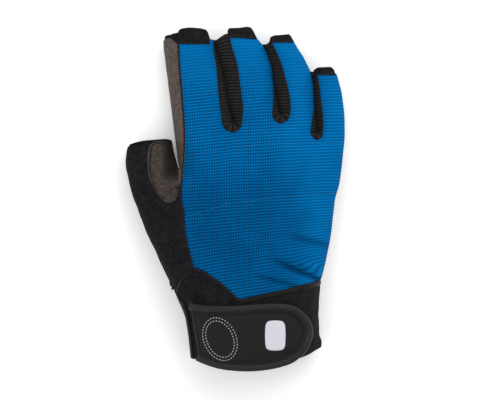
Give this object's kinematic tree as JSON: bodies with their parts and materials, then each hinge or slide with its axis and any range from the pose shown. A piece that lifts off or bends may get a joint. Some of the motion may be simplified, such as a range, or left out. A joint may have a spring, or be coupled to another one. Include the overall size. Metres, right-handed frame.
{
  "type": "climbing glove",
  "caption": "Right-hand half-finger climbing glove with a blue woven back, leather palm, black ribbed finger sides, suede thumb and a wrist strap, lying palm down.",
  "frame": {"origin": "middle of the glove's outline in plan, on the flat ground that the palm side rests on", "axes": "+Y from the wrist to the fingertips, +Z out of the back of the hand, +X to the little-finger side, so the thumb lies toward -X"},
  "size_m": [0.116, 0.1826, 0.0407],
  "materials": {
    "blue_cloth": "woven stretch cloth, matt",
    "brown_leather": "grey-brown goatskin, matt, fine grain",
    "black_rib": "ribbed knit, matt",
    "black_suede": "synthetic suede, matt, short nap",
    "black_knit": "brushed loop knit, matt",
    "binding_tape": "smooth rolled tape, soft sheen",
    "strap_skin": "coated synthetic leather, soft sheen",
    "pale_badge": "pale blank printed label, matt"
  },
  "bodies": {
    "root": {"back_panel": "blue_cloth", "palm_panel": "brown_leather", "side_panel": "brown_leather", "fourchette_index_middle": "black_rib", "fourchette_middle_ring": "black_rib", "fourchette_ring_little": "black_rib", "thumb_panel": "black_suede", "wrist_gusset": "black_suede", "tab_index": "black_suede", "tab_middle": "black_suede", "tab_ring": "black_suede", "tab_little": "black_suede", "side_piping": "black_suede", "cuff_band": "black_knit", "cuff_binding": "binding_tape", "strap_binding": "binding_tape", "wrist_strap": "strap_skin", "strap_badge": "pale_badge"}
  },
  "joints": []
}
